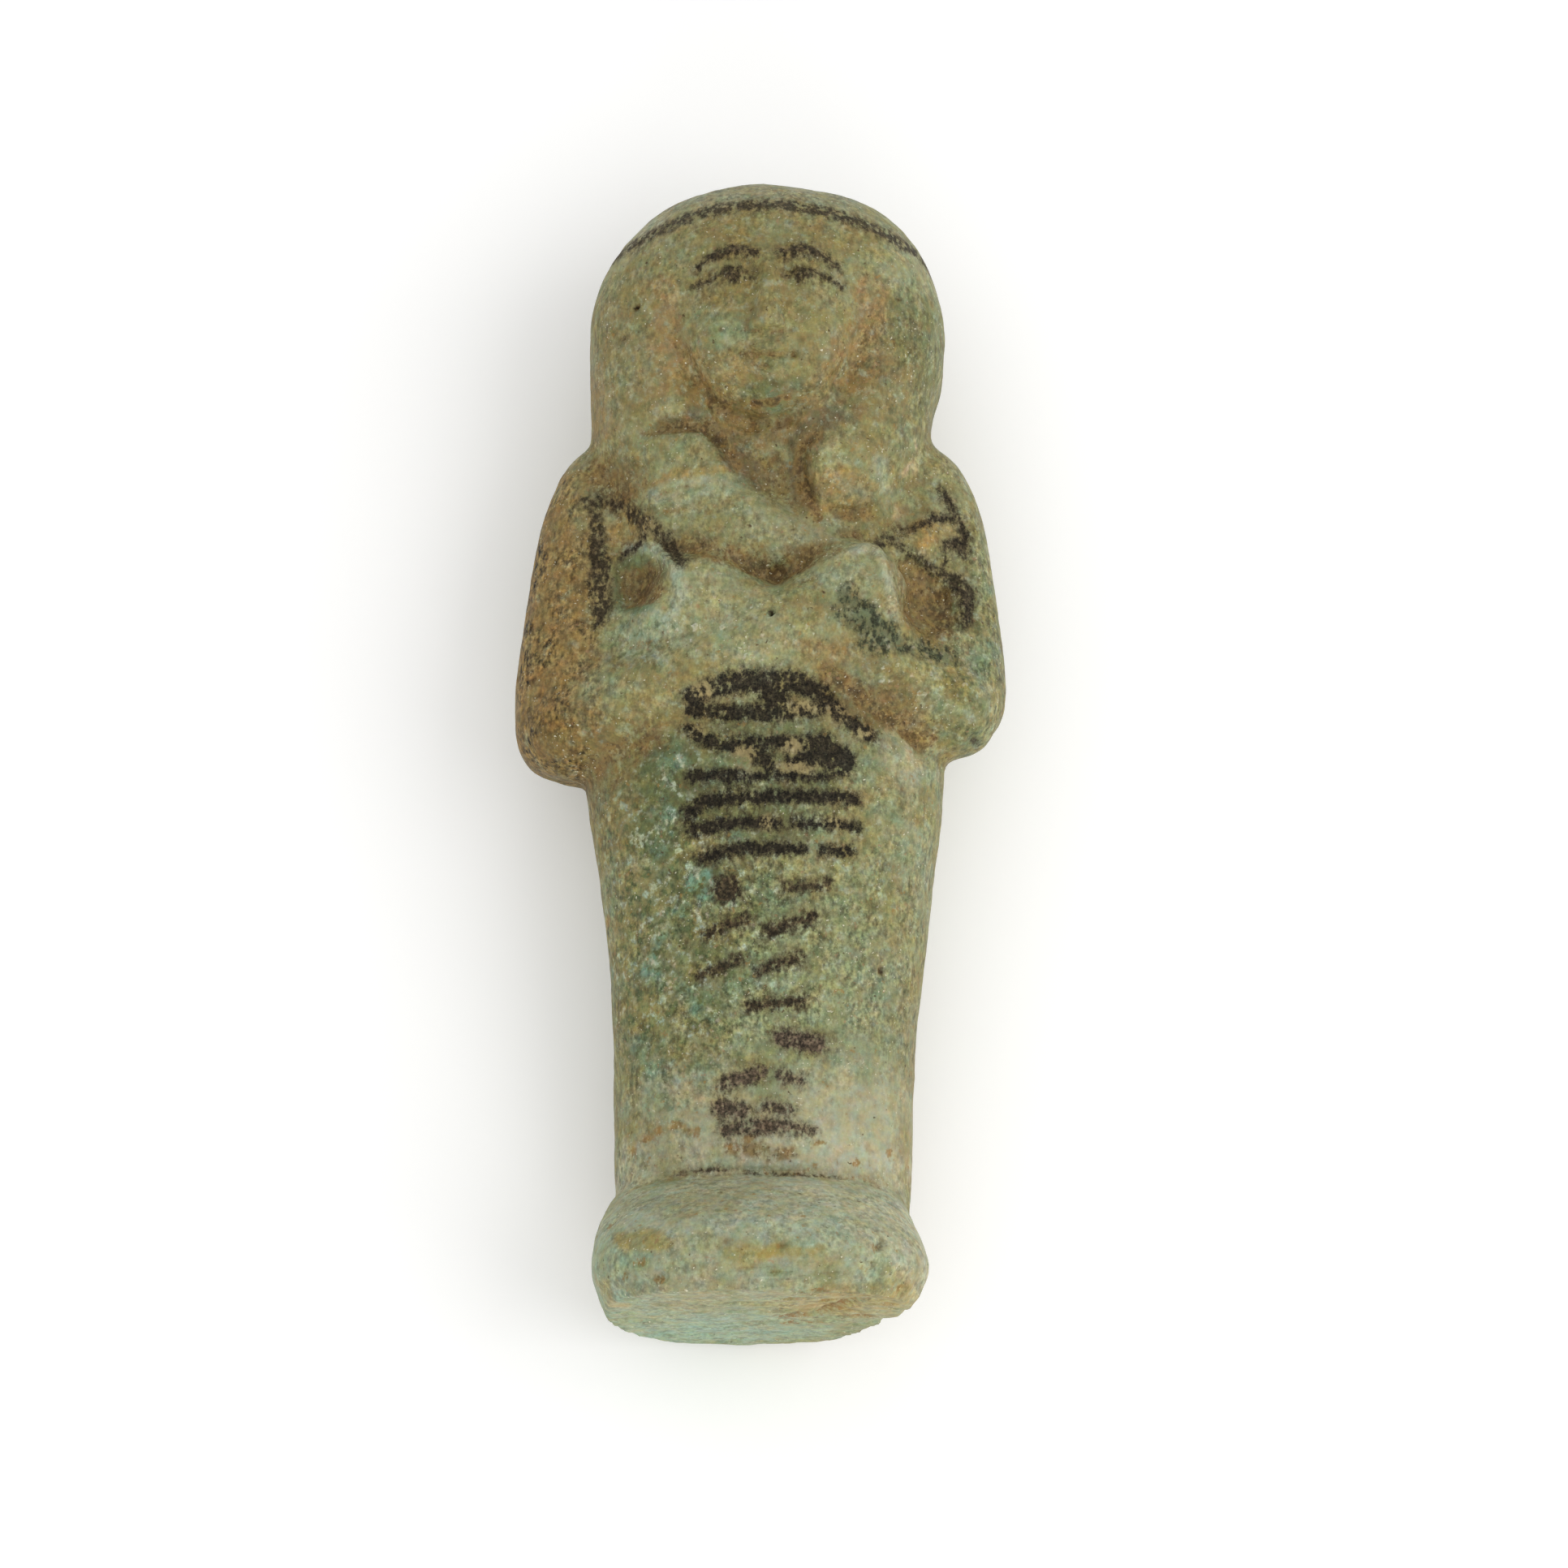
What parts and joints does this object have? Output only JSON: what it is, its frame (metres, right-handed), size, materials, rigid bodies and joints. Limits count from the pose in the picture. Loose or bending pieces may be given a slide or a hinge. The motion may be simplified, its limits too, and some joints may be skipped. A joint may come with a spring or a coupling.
{
  "type": "ushabti figurine",
  "caption": "Small mummiform ushabti figurine in worn green faience with black painted details, arms crossed under a long wig, lying on its flat back.",
  "frame": {"origin": "under the middle of the figure, on the surface that its back lies on", "axes": "+X to the viewer's right of the figure, +Y from the sole to the crown of the wig, +Z out of the chest, which is up as it lies"},
  "size_m": [0.0404, 0.0954, 0.027],
  "materials": {
    "faience": "satin"
  },
  "bodies": {
    "root": {"ushabti": "faience"}
  },
  "joints": []
}
